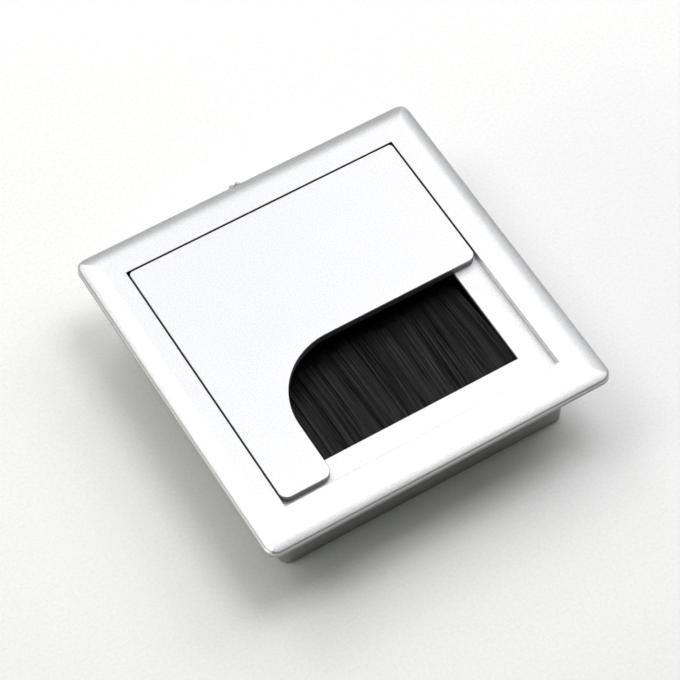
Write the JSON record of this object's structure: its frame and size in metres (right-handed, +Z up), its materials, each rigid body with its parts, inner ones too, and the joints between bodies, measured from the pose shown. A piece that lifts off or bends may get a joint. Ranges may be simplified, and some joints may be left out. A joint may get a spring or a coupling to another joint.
{
  "type": "desk cable grommet",
  "caption": "Square drop-in cable grommet for a desk top: flanged frame with a deep collar, loose L-shaped lid and a strip brush across the cable mouth.",
  "frame": {"origin": "middle of the collar's lower rim, on the surface that the part stands on", "axes": "+Z up through the flange; +Y towards the closed back of the lid; -Y towards the edge that carries the strip brush; +X to the right, where the lid is open"},
  "size_m": [0.094, 0.0947, 0.0245],
  "materials": {
    "silver_finish": "satin silver with a fine metallic grain",
    "black_nylon": "black filament, slightly glossy",
    "black_moulding": "fine matt texture",
    "galvanised_steel": "bright zinc"
  },
  "bodies": {
    "root": {"frame": "silver_finish", "lid": "silver_finish", "brush_channel": "galvanised_steel", "brush_core_wire": "galvanised_steel", "brush_bristles": "black_nylon", "brush_carrier": "black_moulding", "carrier_screws": "galvanised_steel"}
  },
  "joints": []
}
